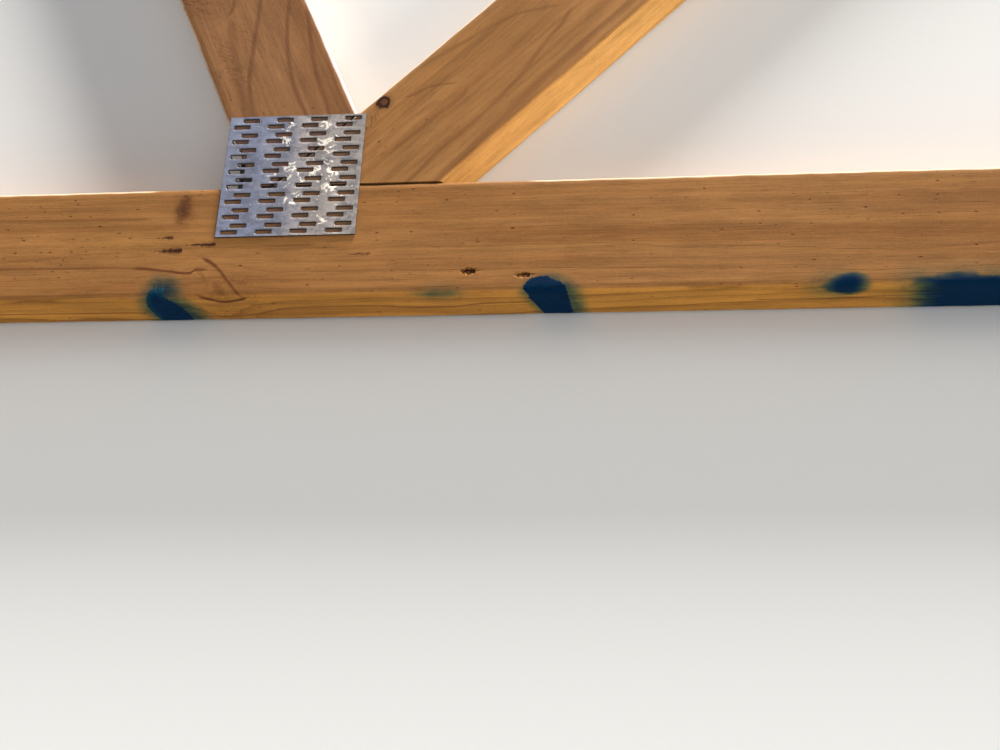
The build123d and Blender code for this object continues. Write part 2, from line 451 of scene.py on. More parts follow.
def softwood(name, origin, angle, heart, ring, drift_along=0.0, grain_seed=0.0, knots=(), streaks=(),
             bands=(), lines=(), curls=(), pores=0.3, dense_at=(), tint=(1.0, 1.0, 1.0),
             edges=(lit_edge_pale, lit_edge_late), shaded_stretches=()):
    """Planed pine. Growth rings are the distance from the log's heart, which drifts along the
    timber and is pushed aside at the knots, over the ring width. Late wood darkens towards each
    ring's rim. Fibres, pores, resin and knots lie on top. Lengths are millimetres, from origin."""
    wood = Finish(bpy.data.materials.new(name))
    turn = -math.radians(angle)
    start = Vector((origin[0], origin[1] + datum, timber_base)) * -millimetres
    start.rotate(Euler((0, 0, turn)))
    here = wood.node("TexCoord").outputs["Object"]
    where = wood.moved(here, tuple(start), turn, (millimetres,) * 3)
    along, across, through = wood.split(where)
    front = wood.ease(through, 18.0, 22.0)
    unrolled = wood.sum("ADD", across, wood.minus(through, timber_thickness * millimetres))

    def drawn_out(length, width, detail, rough, shift):
        """Noise with features of about this length along the timber and this width across it."""
        return wood.noise(where, (length, width, width), detail, rough, grain_seed + shift)

    def around(spot_u, spot_a, half_u, half_a, spot_turn=0.0):
        """How far each place lies from a spot, in its half lengths, at any depth in the timber."""
        return wood.spot(where, (spot_u, spot_a, 17.0), (half_u, half_a, 400.0), spot_turn)

    # Rings
    slow = drawn_out(520, 140, 2.0, 0.5, 0)
    close = drawn_out(110, 26, 2.0, 0.55, 3)
    shaky = drawn_out(34, 5, 2.0, 0.6, 5)
    off_a = wood.minus(across, heart[0])
    off_b = wood.plus(wood.minus(through, heart[1]), along, -drift_along)
    radius = wood.vector("LENGTH", wood.joined(0.0, off_a, off_b))
    radius = wood.plus(radius, slow, 26.0, close, 5.0, shaky, 0.9)
    spots = []
    for knot_u, knot_a, half_u, half_a, knot_turn, push, kind in knots:
        dead = kind == "dead"
        ragged = wood.noise(where, (4, 3.5, 9) if dead else (7, 5, 9), 2.0, 0.6, grain_seed + knot_u)
        out = around(knot_u, knot_a, half_u, half_a, knot_turn)
        out = wood.swayed(out, ragged, 0.8 if dead else 1.3)
        spots.append((out, kind, min(half_u, half_a)))
        swell = wood.sum("EXPONENT", wood.times(out, out, -0.32))
        radius = wood.plus(radius, swell, push)
    rings = wood.sum("DIVIDE", radius, ring)
    ring_share = wood.sum("FRACT", rings)
    ring_number = wood.sum("FLOOR", rings)
    strength = wood.node("TexWhiteNoise", {"W": ring_number}, noise_dimensions="1D").outputs[0]
    late = wood.ramp(ring_share, [(0.0, 0.1), (0.4, 0.05), (0.8, 0.55), (0.94, 1.0), (1.0, 0.1)])
    late = wood.times(late, wood.ease(strength, 0.0, 1.0, 0.35, 1.0))

    # Which way the surface faces: the timber's end, its narrow edge, which takes the painted-light
    # tones, its upper arris, which gets a painted highlight, with a painted shadow over the given
    # stretches where the webs keep the light off it, and its lower one, which gets painted light on the
    # face's side
    facing = wood.node("NewGeometry").outputs["Normal"]
    ways = []
    for way in (Vector((1, 0, 0)), Vector((0, 1, 0)), Vector((0, 0, 1))):
        way.rotate(Euler((0, 0, -turn)))
        ways.append(wood.vector("DOT_PRODUCT", facing, tuple(way)))
    on_end = wood.ease(wood.sum("ABSOLUTE", ways[0]), 0.3, 0.6)
    on_lit_edge = wood.ease(wood.sum("ABSOLUTE", ways[1]), 0.35, 0.95)
    on_lit_edge = wood.times(on_lit_edge, wood.minus(1, on_end))
    up_way = ways[1] if math.cos(turn) > 0 else wood.times(ways[1], -1)
    at_border = wood.ease(wood.sum("ABSOLUTE", across), 41.0, 42.5)
    lit_arris = wood.times(wood.ease(wood.times(up_way, ways[2]), 0.12, 0.5), at_border)
    # A painted shadow over each given stretch of the upper arris, where the webs keep the light off it
    arris_shadow = 0.0
    for first, last in shaded_stretches:
        inside = wood.times(wood.ease(along, first - 6, first + 6),
                            wood.ease(along, last + 6, last - 6), lit_arris)
        arris_shadow = wood.sum("MAXIMUM", arris_shadow, inside)
    lit_arris = wood.minus(lit_arris, arris_shadow)
    # The lower front arris, which gets painted light
    painted_light_on_low_arris = wood.times(wood.ease(wood.times(up_way, ways[2], -1), 0.02, 0.22),
                           wood.ease(ways[2], 0.5, 0.8), at_border)

    # Colour
    patches = drawn_out(420, 24, 3.0, 0.55, 9)
    layers = drawn_out(260, 5.0, 2.0, 0.55, 11)
    fibre = drawn_out(46, 1.1, 3.0, 0.65, 13)
    streaky = drawn_out(95, 2.6, 3.0, 0.6, 15)
    mottle = drawn_out(40, 11, 2.0, 0.5, 16)
    hairs = drawn_out(11, 0.42, 2.0, 0.6, 17)
    grit = drawn_out(2.6, 1.8, 2.0, 0.6, 18)
    dashes = drawn_out(15, 1.3, 2.0, 0.55, 19)
    # The narrow edges take the painted-light tones
    pale = wood.mix(on_lit_edge, pine_pale, edges[0])
    dark = wood.mix(on_lit_edge, pine_late, edges[1])
    wood.colour = wood.mix(wood.times(late, wood.plus(0.28, on_lit_edge, 0.4)), pale, dark)
    wood.stain(wood.ease(patches, 0.45, 0.7, 0.0, 0.5), red_heart)
    wood.stain(wood.ease(patches, 0.44, 0.28, 0.0, 0.35), gold_sap)
    for band_a, lean, half, first, last, share in bands:
        off = wood.sum("DIVIDE", wood.apart(across, wood.plus(band_a, along, lean)), half)
        off = wood.swayed(off, close, 0.9)
        inside = wood.times(wood.ease(off, 1.15, 0.55), wood.ease(along, first, first + 90),
                            wood.ease(along, last + 90, last), share)
        wood.stain(inside, red_heart)
    shade = wood.swayed(1.0, fibre, 0.32, streaky, 0.4, layers, 0.5, mottle, 0.56, hairs, 0.2,
                        grit, 0.3)
    wood.stain(1.0, wood.joined(shade), "MULTIPLY")
    wood.stain(wood.ease(dashes, 0.58, 0.7, 0.0, 0.3), figure_brown)

    # Resin pores: a fleck in some cells of a lattice, round at one end and drawn out at the other
    cell_length, cell_width, head_length, tail_length = 12, 5, 1.3, 3.2
    lattice = wood.joined(wood.plus(grain_seed, along, 1 / cell_length),
                          wood.times(wood.sum("ADD", across, through), 1 / cell_width))
    dots = wood.node("TexVoronoi", {"Vector": lattice, "Scale": 1.0}, voronoi_dimensions="2D")
    luck = wood.node("SeparateColor", {0: dots.outputs["Color"]}).outputs
    gap = wood.split(wood.vector("SUBTRACT", lattice, dots.outputs["Position"]))
    fore = wood.sum("MAXIMUM", wood.times(gap[0], cell_length / head_length),
                    wood.times(gap[0], -cell_length / tail_length))
    fleck = wood.vector("LENGTH", wood.joined(fore, wood.times(gap[1], cell_width)))
    size = wood.plus(0.3, luck[1], 0.65)
    wanted = wood.plus(pores - 0.6, drawn_out(260, 60, 1.0, 0.5, 21), 1.2)
    for spot_u, spot_a, half_u, half_a, more in dense_at:
        wanted = wood.plus(wanted, wood.ease(around(spot_u, spot_a, half_u, half_a), 1.15, 0.8), more)
    dot = wood.times(wood.ease(wood.sum("DIVIDE", fleck, size), 1.0, 0.35),
                     wood.ease(wood.minus(wanted, luck[0]), 0.0, 0.05),
                     wood.plus(0.35, luck[2], 0.5), wood.minus(1, on_end))
    wood.stain(dot, pore)

    # Resin streaks with a thin tail and a rounded head, in a stained surround
    for streak_u, streak_a, half_u, half_a, share in streaks:
        run = wood.sum("DIVIDE", wood.minus(along, streak_u - half_u), 2 * half_u, clamp=True)
        head = wood.sum("SQRT", wood.minus(1, wood.sum("POWER", run, 6.0)))
        width = wood.plus(0.12, wood.times(wood.sum("POWER", run, 1.3), head), half_a)
        off = wood.swayed(wood.apart(unrolled, streak_a), fibre, 2.4, grit, 3.4)
        off = wood.sum("DIVIDE", off, width)
        there = wood.times(front, wood.ease(run, 0.0, 0.2), wood.ease(run, 1.0, 0.985))
        stain = wood.times(wood.ease(off, 2.6, 0.6, 0.0, 0.6), there)
        wood.stain(stain, knot_body)
        wood.stain(wood.times(wood.ease(off, 1.3, 0.4), there, share), resin)

    # Lines of the figure, and curly grain beside them
    wobble = wood.times(wood.minus(shaky, 0.5), 2.0)
    for points, half, share in lines:
        line = wood.times(wood.line(along, unrolled, points, half, wobble),
                          wood.ease(streaky, 0.25, 0.6, 0.55, 1.0), wood.ease(through, -1.0, 2.0), share)
        wood.stain(line, figure_brown)
    for curl_u, curl_a, half_u, half_a, curl_turn, share in curls:
        inside = around(curl_u, curl_a, half_u, half_a, curl_turn)
        ripple = wood.noise(wood.moved(where, turn=0.8), (1.2, 5.0, 5.0), 2.0, 0.6, grain_seed + curl_u)
        curled = wood.times(wood.ease(inside, 1.15, 0.3), wood.ease(ripple, 0.42, 0.68), front, share)
        wood.stain(curled, figure_brown)

    # Knots: a body with its own close rings, a dark rim and a dark core. A swirl has no knot in
    # it, and the noise of the last knot breaks up the cores of the dead ones
    wood.rise = wood.times(late, 0.35)
    for out, kind, half in spots:
        if kind == "swirl":
            continue
        whorl = wood.sum("FRACT", wood.times(out, max(2.0, half / 2.2)))
        whorl = wood.ramp(whorl, [(0.0, 0.0), (0.7, 0.8), (1.0, 0.1)])
        knot = wood.mix(wood.times(whorl, 0.35), knot_body, knot_core)
        if kind == "dead":
            body, share = wood.ease(out, 1.15, 0.8), 0.95
            knot = wood.mix(wood.ease(wood.apart(out, 0.84), 0.5, 0.2), knot, knot_bark)
            knot = wood.mix(wood.ease(ragged, 0.52, 0.62, 0.0, 0.7), knot, knot_core)
        else:
            body, share = wood.ease(out, 1.3, 0.6), 0.7
            knot = wood.mix(wood.ease(wood.apart(out, 0.85), 0.3, 0.05, 0.0, 0.5), knot, knot_core)
            cracked = wood.ease(wood.swayed(out, grit, 1.1), 0.75, 0.2, 0.0, 0.95)
            knot = wood.mix(cracked, knot, knot_core)
        wood.stain(wood.ease(out, 2.0, 0.9, 0.0, 0.35), figure_brown)
        wood.stain(wood.times(body, share), knot)
        wood.rise = wood.plus(wood.rise, body, 0.5)

    # Under the nail plates, where their slots let it show, the wood gets painted shade for the sheet's
    # shadow.
    # The right half's places are folded over to the left half, where the seats are given
    folded = wood.vector("MULTIPLY", wood.vector("ABSOLUTE", here), (-millimetres, 0.0, 0.0))
    folded = wood.vector("ADD", folded, wood.moved(here, scale=(0, millimetres, 0)))
    for columns, rows, centre, seat_angle in plate_seats.values():
        middle = (centre[0] * millimetres, (centre[1] + datum) * millimetres, 0)
        seat = wood.moved(folded, middle, math.radians(seat_angle), kind="TEXTURE")
        reach = wood.split(wood.vector("ABSOLUTE", seat))
        past_x = wood.minus(reach[0], columns * module_length * millimetres / 2)
        past_y = wood.minus(reach[1], rows * module_width * millimetres / 2)
        under = wood.ease(wood.sum("MAXIMUM", past_x, past_y), 0.0, -1.0, 0.0, 0.85)
        wood.stain(under, slot_shade)

    # Sawn ends: darker and open-grained, with the marks of the saw across them
    saw = wood.noise(wood.moved(where, turn=0.5), (9, 1.3, 90), 2.0, 0.6, grain_seed)
    end_shade = wood.joined(wood.plus(0.6, saw, 0.3))
    wood.stain(on_end, wood.mix(1.0, wood.colour, end_shade, "MULTIPLY"))
    # Painted highlight along the upper arris, painted shadow over its shaded stretches, and painted
    # light on the lower arris
    wood.stain(wood.times(lit_arris, 0.7), painted_arris_highlight)
    wood.stain(wood.times(arris_shadow, 0.4), pore)
    wood.stain(painted_light_on_low_arris, painted_light_gain, "MULTIPLY")
    wood.stain(1.0, (*tint, 1.0), "MULTIPLY")

    # Relief: fibres, late wood that stands up, the planer's knife marks and the saw's scratches
    knife_pitch = 2.6
    knife = wood.sum("SINE", wood.times(along, 2 * math.pi / knife_pitch))
    wood.rise = wood.plus(wood.rise, fibre, 0.9, hairs, 0.5, knife, 0.03, dot, -0.8,
                          wood.times(saw, on_end), 2.2)
    wood.rough = wood.plus(0.5, fibre, 0.16, on_end, 0.2)
    return wood, where


def planed(wood):
    """The pine's material: low relief and hardly any shine."""
    return wood.surfaced(0.0002, 0.6, {"Specular IOR Level": 0.05})


def place(piece, node_name, material, slot_name):
    """Gives the piece its material, hangs it under the root, and hides the CAD node that it stands for.
    """
    piece.data.materials.append(material)
    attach(piece, "root")
    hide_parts(node_name)


def outside(x, y, outline):
    """Distance to an outline of straight runs, taken as negative inside it: the least distance
    to any run, and inside where a line to the right crosses an odd number of runs."""
    nearest = np.full(x.shape, np.inf)
    inside = np.zeros(x.shape, bool)
    for (x0, y0), (x1, y1) in zip(outline, outline[1:] + outline[:1]):
        run_x, run_y = x1 - x0, y1 - y0
        t = np.clip(((x - x0) * run_x + (y - y0) * run_y) / (run_x ** 2 + run_y ** 2), 0, 1)
        nearest = np.minimum(nearest, np.hypot(x - x0 - t * run_x, y - y0 - t * run_y))
        if run_y:
            meets = x0 + (y - y0) * run_x / run_y
            inside ^= ((y0 > y) != (y1 > y)) & (x < meets)
    return np.where(inside, -nearest, nearest)


# Paint marks on the lower edge. Each outline is in millimetres: along the chord, and height on
# its face, which goes on below zero round the arris and along the edge. After it come how much
# further the mark fades along than across, half the width of that fade, or nothing where the edge
# is crisp, the coat's strength, and the shift, reach and density of the thin spray beside it.
paint_marks = [
    ([(-1110.1, -3.6), (-1107.5, 6.1), (-1104.8, 6.6), (-1104, 11.2), (-1101.4, 6), (-1099.3, 11.1),
      (-1096.9, 6.9), (-1096.9, 1.3), (-1091.3, -4.3), (-1086.2, -15.9), (-1083.8, -27.4),
      (-1081.2, -35), (-1107.2, -35), (-1109.4, -22.7), (-1111.7, -13)],
     1.0, 0.0, 1.0, (3.5, -3.0), 14, 0.46),
    ([(-843.2, 2.4), (-839.1, 8.8), (-833.1, 11.4), (-826.1, 11.7), (-820.7, 8.4), (-817.6, 7.8),
      (-812.7, 3.2), (-811.7, -8.6), (-810.3, -35), (-830, -35), (-834.3, -22.4), (-837, -14.9),
      (-839.7, -8.4), (-838.8, -3.9)],
     1.0, 0.0, 1.0, (4.0, -5.0), 10, 0.36),
    ([(-638, -2), (-633, 4), (-627, 7.5), (-621, 8.5), (-616.5, 6), (-614.5, 0), (-616, -7),
      (-622, -12), (-631, -10.5), (-636, -7)],
     3.5, 2.4, 1.0, (-9, -1), 12, 0.09),
    ([(-573.5, 3), (-560, 3.6), (-526.3, 3.8), (-470, 3.4), (-452, -1), (-449, -20), (-455, -38),
      (-573.5, -38)],
     8.0, 2.3, 1.0, (-8, -2), 20, 0.14),
    ([(-564, 6.5), (-553, 8), (-542, 6.5), (-553, 5.5)], 3.0, 2.2, 1.0, (0, 0), 4, 0.1),
    ([(1012, 3), (1030, 6), (1049, 4), (1058, -3), (1055, -16), (1036, -30), (1016, -33),
      (1004, -22), (1003, -8)],
     2.0, 1.5, 1.0, (5, 0), 12, 0.2),
    ([(-916, -1.5), (-908, 2), (-895, 2), (-887, -1), (-891, -5), (-907, -6)],
     3.0, 3.0, 0.22, (0, 0), 10, 0.06),
]

chord_line = (0.0, timber_depth / 2)
chord_cuts = [
    cut(-half_span, 0, -90),
    cut(-half_span, heel_butt, 180 + pitch),
    cut(half_span, 0, 90),
    cut(half_span, heel_butt, 180 - pitch),
]
torn_spots = [(-0.8808, -0.0285, 0.0058, 0.0024, 0.0026), (-0.8425, -0.0322, 0.0058, 0.0018, 0.002)]
chord, chord_u, chord_a, chord_b = timber(
    "pine_bottom_chord", chord_line, 0, chord_cuts, 0.003,
    zones=[(-1.29, -0.44, 0.002), (0.98, 1.08, 0.003)], torn=torn_spots, seed=3,
)
height = (chord_a + timber_depth / 2 - timber_thickness + chord_b) * 1000
reach_along = chord_u * 1000
no_paint_near = 30.0
paint = np.full(chord_u.shape, no_paint_near)
spray = np.zeros(chord_u.shape)
for outline, stretch, fade, strength, shift, reach, density in paint_marks:
    if fade:
        drawn_in = [(x / stretch, y) for x, y in outline]
        share = np.clip(0.5 - outside(reach_along / stretch, height, drawn_in) / (2 * fade), 0, 1)
        spray = np.maximum(spray, strength * share * share * (3 - 2 * share))
    else:
        paint = np.minimum(paint, outside(reach_along, height, outline))
    beside = outside(reach_along - shift[0], height - shift[1], outline)
    spray = np.maximum(spray, density * np.clip(1 - np.maximum(beside, 0) / reach, 0, 1) ** 1.5)
keep_at_points(chord, "paint", paint)
keep_at_points(chord, "spray", spray)

wood, where = softwood(
    "pine_of_bottom_chord", chord_line, 0, heart=(18, -16), ring=5.2, grain_seed=4.0, pores=0.2,
    tint=(0.89, 0.925, 0.95), dense_at=[(-1190.0, 6.0, 90.0, 34.0, 0.5)], shaded_stretches=[(-1114, -840)],
    knots=[
        (-1090.5, 27.5, 5.6, 10.0, 0.1, 3.0, "live"),
        (-1058.0, -40.0, 14.0, 15.0, 0.5, 9.0, "swirl"),
        (-1420.0, 12.0, 9.0, 11.0, 0.3, 6.0, "live"),
        (-240.0, -20.0, 8.0, 9.0, 0.0, 7.0, "live"),
        (620.0, 15.0, 11.0, 13.0, 0.4, 8.0, "live"),
        (1710.0, -25.0, 6.0, 7.0, 0.0, 5.0, "dead"),
    ],
    streaks=[
        (-1102.0, 4.3, 6.8, 1.3, 0.85), (-1075.0, -2.3, 11.6, 2.0, 0.85),
        (-1098.5, -6.8, 11.0, 2.9, 0.9), (-959.5, -12.5, 9.0, 0.9, 0.5),
        (-880.8, -28.5, 5.0, 1.9, 0.95), (-842.5, -32.2, 5.0, 1.4, 0.95),
        (310.0, 9.0, 15.0, 1.6, 0.8), (1290.0, -12.0, 12.0, 1.5, 0.8),
    ],
    bands=[(-13.2, -0.015, 8.0, -930, 400, 0.6), (14.0, 0.001, 3.0, -1500, -1120, 0.4),
           (4.0, 0.0, 34.0, -660, 300, 0.3)],
    lines=[
        ([(-1500, 24), (-1234, 21.9), (-1198, 21), (-1148, 20.4), (-1112, 20.3)], 1.5, 0.5),
        ([(-1600, -17), (-1400, -20), (-1221, -18.7), (-1176, -19.2), (-1139, -19.9), (-1105, -21.3)],
         1.1, 0.6),
        ([(-1125, -20.2), (-1109, -21.3), (-1095, -23.3), (-1080, -25.2), (-1075.5, -22.7),
          (-1064, -23.8)], 1.1, 1.6),
        ([(-1034, -4.3), (-1017, -4.3), (-988, -4.1)], 0.9, 0.5),
        ([(-1076, -11), (-1062, -19.9), (-1055.7, -26.8), (-1049.2, -35.1), (-1043.9, -41.3),
          (-1036, -49.5)], 1.9, 1.2),
        ([(-1076, -41.5), (-1061.9, -48.7), (-1055.5, -51.6), (-1047.9, -51), (-1033, -43)], 2.0, 1.3),
        ([(-1064, -34), (-1057, -39), (-1050, -43)], 4.2, 0.7),
        ([(-1079, -20), (-1069, -29), (-1064, -41)], 2.6, 0.35),
        ([(-1300, -64), (-1149.5, -65.2), (-1130.5, -65.3), (-1110, -70)], 1.1, 0.7),
        ([(-1088, -73), (-1076, -73.2), (-1057.7, -73.5), (-1038.4, -71.4), (-1023, -66.2),
          (-1002, -62.3), (-960, -61.5), (-903, -64.8), (-866, -60.6), (-834, -59.8)], 1.1, 0.7),
        ([(-690, -63), (-622.4, -62.5), (-592, -60.8), (-500, -60)], 1.1, 0.6),
        ([(-672, -50.8), (-655, -49), (-634, -47.3)], 1.2, 0.5),
    ],
    curls=[(-1043.0, -32.0, 10.0, 9.0, 0.4, 0.5), (-1033.0, -42.0, 9.0, 5.0, 0.0, 0.35),
           (-1060.0, -37.0, 12.0, 10.0, 0.6, 0.4)],
)
edge_distance, mist = wood.read("paint"), wood.read("spray")
bristles = wood.noise(where, (2.0, 1.5, 1.5), 3.0, 0.65, 31)
misty = wood.noise(where, (9.0, 4.0, 4.0), 2.0, 0.5, 33)
dragged = wood.noise(where, (0.9, 3.5, 3.5), 2.0, 0.6, 57)
coat = wood.ease(wood.swayed(edge_distance, bristles, 3.6), 0.5, -0.5)

# Thin paint is a filter: it takes red from the wood first, then green. Where it gets thick, and
# in the full coat, it hides the wood
navy, navy_shade = tone(0, 36, 64), tone(0, 29, 56)
thin_navy, scraped_navy = tone(14, 56, 70), tone(50, 98, 112)
uneven = wood.times(mist, wood.minus(1, mist), wood.minus(misty, 0.5))
thinned = wood.sum("MULTIPLY_ADD", uneven, 2.0, mist, clamp=True)
passed = [wood.sum("EXPONENT", wood.times(thinned, rate)) for rate in (-5.5, -2.7, 0.3)]
wood.stain(1.0, wood.joined(*passed), "MULTIPLY")
wood.stain(wood.ease(thinned, 0.7, 1.0), navy)
deep = wood.mix(wood.ease(misty, 0.35, 0.7), navy, navy_shade)

# The first mark is thin and dragged near its left border, where the brush ran dry
dry = wood.times(wood.ease(edge_distance, -5.0, -1.0), wood.ease(wood.split(where)[0], -1094, -1098))
deep = wood.mix(wood.times(dry, 0.6), deep, thin_navy)
dry = wood.times(dry, wood.ease(dragged, 0.54, 0.66, 0.0, 0.35))
deep = wood.mix(dry, deep, scraped_navy)
wood.stain(coat, deep)
wood.rough = wood.plus(wood.rough, wood.sum("MAXIMUM", coat, thinned), 0.2)
wood.rise = wood.plus(wood.rise, coat, 0.5)
place(chord, "bottom_chord", planed(wood), "softwood")


# Top chords
# The two rafter chords are the same stock, plumb cut at the heel and against each other at
# midspan, where the saw leaves half a millimetre between them.
def to_left_of(point, angle, offset):
    """The point moved to the left of a line at this angle."""
    turn = math.radians(angle)
    return point[0] - offset * math.sin(turn), point[1] + offset * math.cos(turn)


def lay_timber(node_name, line, seed, row_step=0.004, zones=(), **grain):
    """A timber without paint, in its place, with a grain of its own. Its line is where it starts,
    its angle and its cuts."""
    piece, *_ = timber("pine_" + node_name, *line, row_step, zones, (), seed)
    wood, _ = softwood("pine_of_" + node_name, line[0], line[1], **grain)
    place(piece, node_name, planed(wood), "softwood")


rafter_start = to_left_of((-half_span, underside(-half_span)), pitch, timber_depth / 2)
rafter_line = (rafter_start, pitch, [cut(-half_span, 0, -90), cut(-saw_gap / 2, 0, 90)])
lay_timber(
    "top_chord_left", rafter_line, seed=11,
    heart=(-30, -22), ring=6.0, drift_along=0.006, grain_seed=23.0, pores=0.35,
    tint=(0.96, 0.95, 0.93),
    knots=[(410, 22, 12, 14, 0.2, 9, "live"), (980, -18, 8, 9, 0.0, 7, "dead"),
           (1650, 6, 14, 12, 0.7, 10, "live"), (2420, -30, 7, 8, 0.0, 6, "live")],
    streaks=[(1200, 14, 16, 1.8, 0.8), (2010, -8, 11, 1.4, 0.8)],
)
lay_timber(
    "top_chord_right", mirrored(*rafter_line), seed=12,
    heart=(22, -30), ring=5.4, drift_along=-0.004, grain_seed=37.0, pores=0.4,
    tint=(1.0, 0.97, 0.95),
    knots=[(300, -12, 9, 10, 0.0, 8, "live"), (1320, 24, 11, 13, -0.4, 9, "live"),
           (1985, -22, 6, 6, 0.0, 5, "dead"), (2660, 8, 9, 11, 0.3, 8, "live")],
    streaks=[(760, -6, 14, 1.6, 0.8)],
)


# Ties
# The long webs run from the panel joints to the apex. Each stands on the bottom chord and is
# sawn twice at its head, against the top chord and against its twin.
# Painted light for the webs' narrow edges: warm, pale tones for light that falls on them
web_lit_edge_pale, web_lit_edge_late = tone(198, 147, 84), tone(166, 112, 54)
web_foot = timber_depth + saw_gap
tie_aim_drop = 0.043
tie_aim = (0.0, underside(0.0) - tie_aim_drop)
tie_angle = math.degrees(math.atan2(tie_aim[1] - panel_point[1], tie_aim[0] - panel_point[0]))
head_cut = cut(-half_span, underside(-half_span, saw_gap), 180 + pitch)
foot_cut = cut(0, web_foot, 0)
tie_line = (panel_point, tie_angle, [foot_cut, cut(-saw_gap / 2, 0, 90), head_cut])
lay_timber(
    "tie_left", tie_line, seed=21, row_step=0.003, zones=[(-0.1, 0.35, 0.004)],
    heart=(-4, -60), ring=9.0, drift_along=-0.02, grain_seed=51.0, pores=0.06,
    tint=(0.98, 1.06, 1.15), edges=(web_lit_edge_pale, web_lit_edge_late),
    knots=[(85.3, 37.6, 5.4, 5.4, 0.0, 4, "dead"), (610, -20, 12, 13, 0.3, 9, "live"),
           (1040, 16, 8, 9, 0.0, 7, "live")],
    lines=[
        ([(95, 32), (104, 26), (113.7, 23.3), (122.4, 18.6), (131, 11.7), (137.5, 5.5)], 1.2, 0.55),
        ([(60, 1.6), (92, -0.7), (112.8, -1.4), (128, -1.3), (135, 0.4), (139, 5)], 1.6, 0.35),
        ([(120, 41), (143, 36.6), (168.6, 31.1), (200.7, 22.9), (222, 10.4), (235, 1)], 1.9, 0.38),
        ([(40, -27), (60.7, -26.3), (83.5, -24.3), (125.9, -24.5), (163.5, -21.3), (199.7, -13.1),
          (226.6, -8.2), (238, -1)], 1.9, 0.42),
        ([(30, -43), (76.6, -41.2), (144.5, -36.9), (185.6, -34.8), (223.5, -34.2), (420, -30)],
         3.0, 0.4),
        ([(0, 12), (60, 13), (95, 11), (118, 6)], 2.4, 0.25),
    ],
    curls=[(70, 33, 14, 6, 0.4, 0.6)],
)
lay_timber(
    "tie_right", mirrored(*tie_line), seed=22,
    heart=(10, -20), ring=6.2, drift_along=-0.04, grain_seed=67.0, pores=0.25,
    tint=(0.98, 0.97, 0.95), edges=(web_lit_edge_pale, web_lit_edge_late),
    knots=[(240, -14, 9, 10, 0.0, 8, "live"), (820, 22, 11, 12, 0.5, 9, "live")],
    streaks=[(520, 8, 12, 1.6, 0.8)],
)


# Struts
# The short webs lean outwards from the panel joints to the top chords. The foot has a short flat
# on the bottom chord and is then sawn along the tie's upper edge.
# A painted highlight for the strut's narrow edges, where the low side light strikes them
strut_lit_edge = (tone(226, 200, 160), tone(180, 140, 96))
tie_edge = to_left_of(panel_point, tie_angle, timber_depth / 2 + saw_gap)
strut_line = (panel_point, strut_angle, [foot_cut, cut(*tie_edge, tie_angle), head_cut])
lay_timber(
    "strut_left", strut_line, seed=31, row_step=0.003, zones=[(0.02, 0.28, 0.004)],
    heart=(28, -70), ring=11.0, drift_along=0.01, grain_seed=83.0, pores=0.08,
    tint=(0.75, 0.81, 1.1), edges=strut_lit_edge,
    knots=[(222, 36, 30, 26, 0.3, 14, "swirl"), (420, -16, 9, 8, 0.0, 7, "live")],
    lines=[
        ([(70, 27.5), (101.7, 25.4), (125, 20.5), (147, 11.7), (175.7, -2), (198, -12), (240, -26)],
         2.1, 0.6),
        ([(60, -10), (82.8, -10.2), (101, -9.6), (124, -12), (159, -21), (187.4, -32), (215, -43)],
         1.8, 0.55),
        ([(50, -26), (74.7, -26.2), (88, -27.4), (105, -28), (141, -34.3), (165, -40), (190, -47)],
         1.8, 0.55),
        ([(50, -40), (84.3, -38.9), (99.3, -39), (135, -45)], 1.6, 0.4),
        ([(85, 31), (104, 30), (122, 27.5), (142, 24.4), (169, 19.5), (192, 14)], 3.6, 0.35),
        ([(190, 42), (191, 26), (196, 14), (207, 6), (240, -6)], 2.2, 0.55),
    ],
    curls=[(230, 30, 38, 28, 0.0, 0.75), (150, 26, 44, 9, 0.1, 0.5), (168, 8, 30, 7, 0.2, 0.4)],
)
lay_timber(
    "strut_right", mirrored(*strut_line), seed=32,
    heart=(-18, -34), ring=6.5, drift_along=-0.03, grain_seed=97.0, pores=0.2,
    tint=(0.97, 0.95, 0.96), edges=(web_lit_edge_pale, web_lit_edge_late),
    knots=[(300, 12, 10, 11, 0.2, 8, "live")],
)


# Panel plates
# Where a strut and a tie stand on the bottom chord, a sheet of galvanised steel, four modules by
# eight, is pressed into each face. Two teeth are punched out of each of its slots.
slot_length = 0.011
slot_width = 0.003
slot_corner = 0.0004
stagger_x = 0.0032
stagger_y = 0.0027
lip = 0.001
rim_inset = 0.0002
rim_drop = 0.00022
unevenness = 0.00014

# Where the long sides of a slot's cell are divided. Each ring round a slot has a share of the lip
# at its ends and at its sides, and a share of the way down. Each of a tooth's sections has a depth,
# half a width and a thickness
cell_marks = np.array([0, 0.0039, 0.0101, 0.0149, 0.0211])
lip_rings = ((1.0, 0.6, 0.0), (0.55, 0.32, 0.12), (0.2, 0.1, 0.4), (0, 0, 1.0))
tooth_sections = ((0.0006, 0.0013, 0.0009), (0.0045, 0.0011, 0.0008), (0.0075, 0.0002, 0.0004))

# A lit tone of the zinc, and a cooler, darker painted shade for the side of a plate away from the light
lit_zinc, shaded_zinc = tone(152, 143, 137), tone(122, 127, 146)
dark_flake, dull_patch = tone(94, 92, 98), tone(86, 88, 98)
# A painted glint for the zinc, and painted shade for the rims of its slots
bright_glint, slot_rim_shade = tone(236, 226, 212), tone(32, 20, 14)


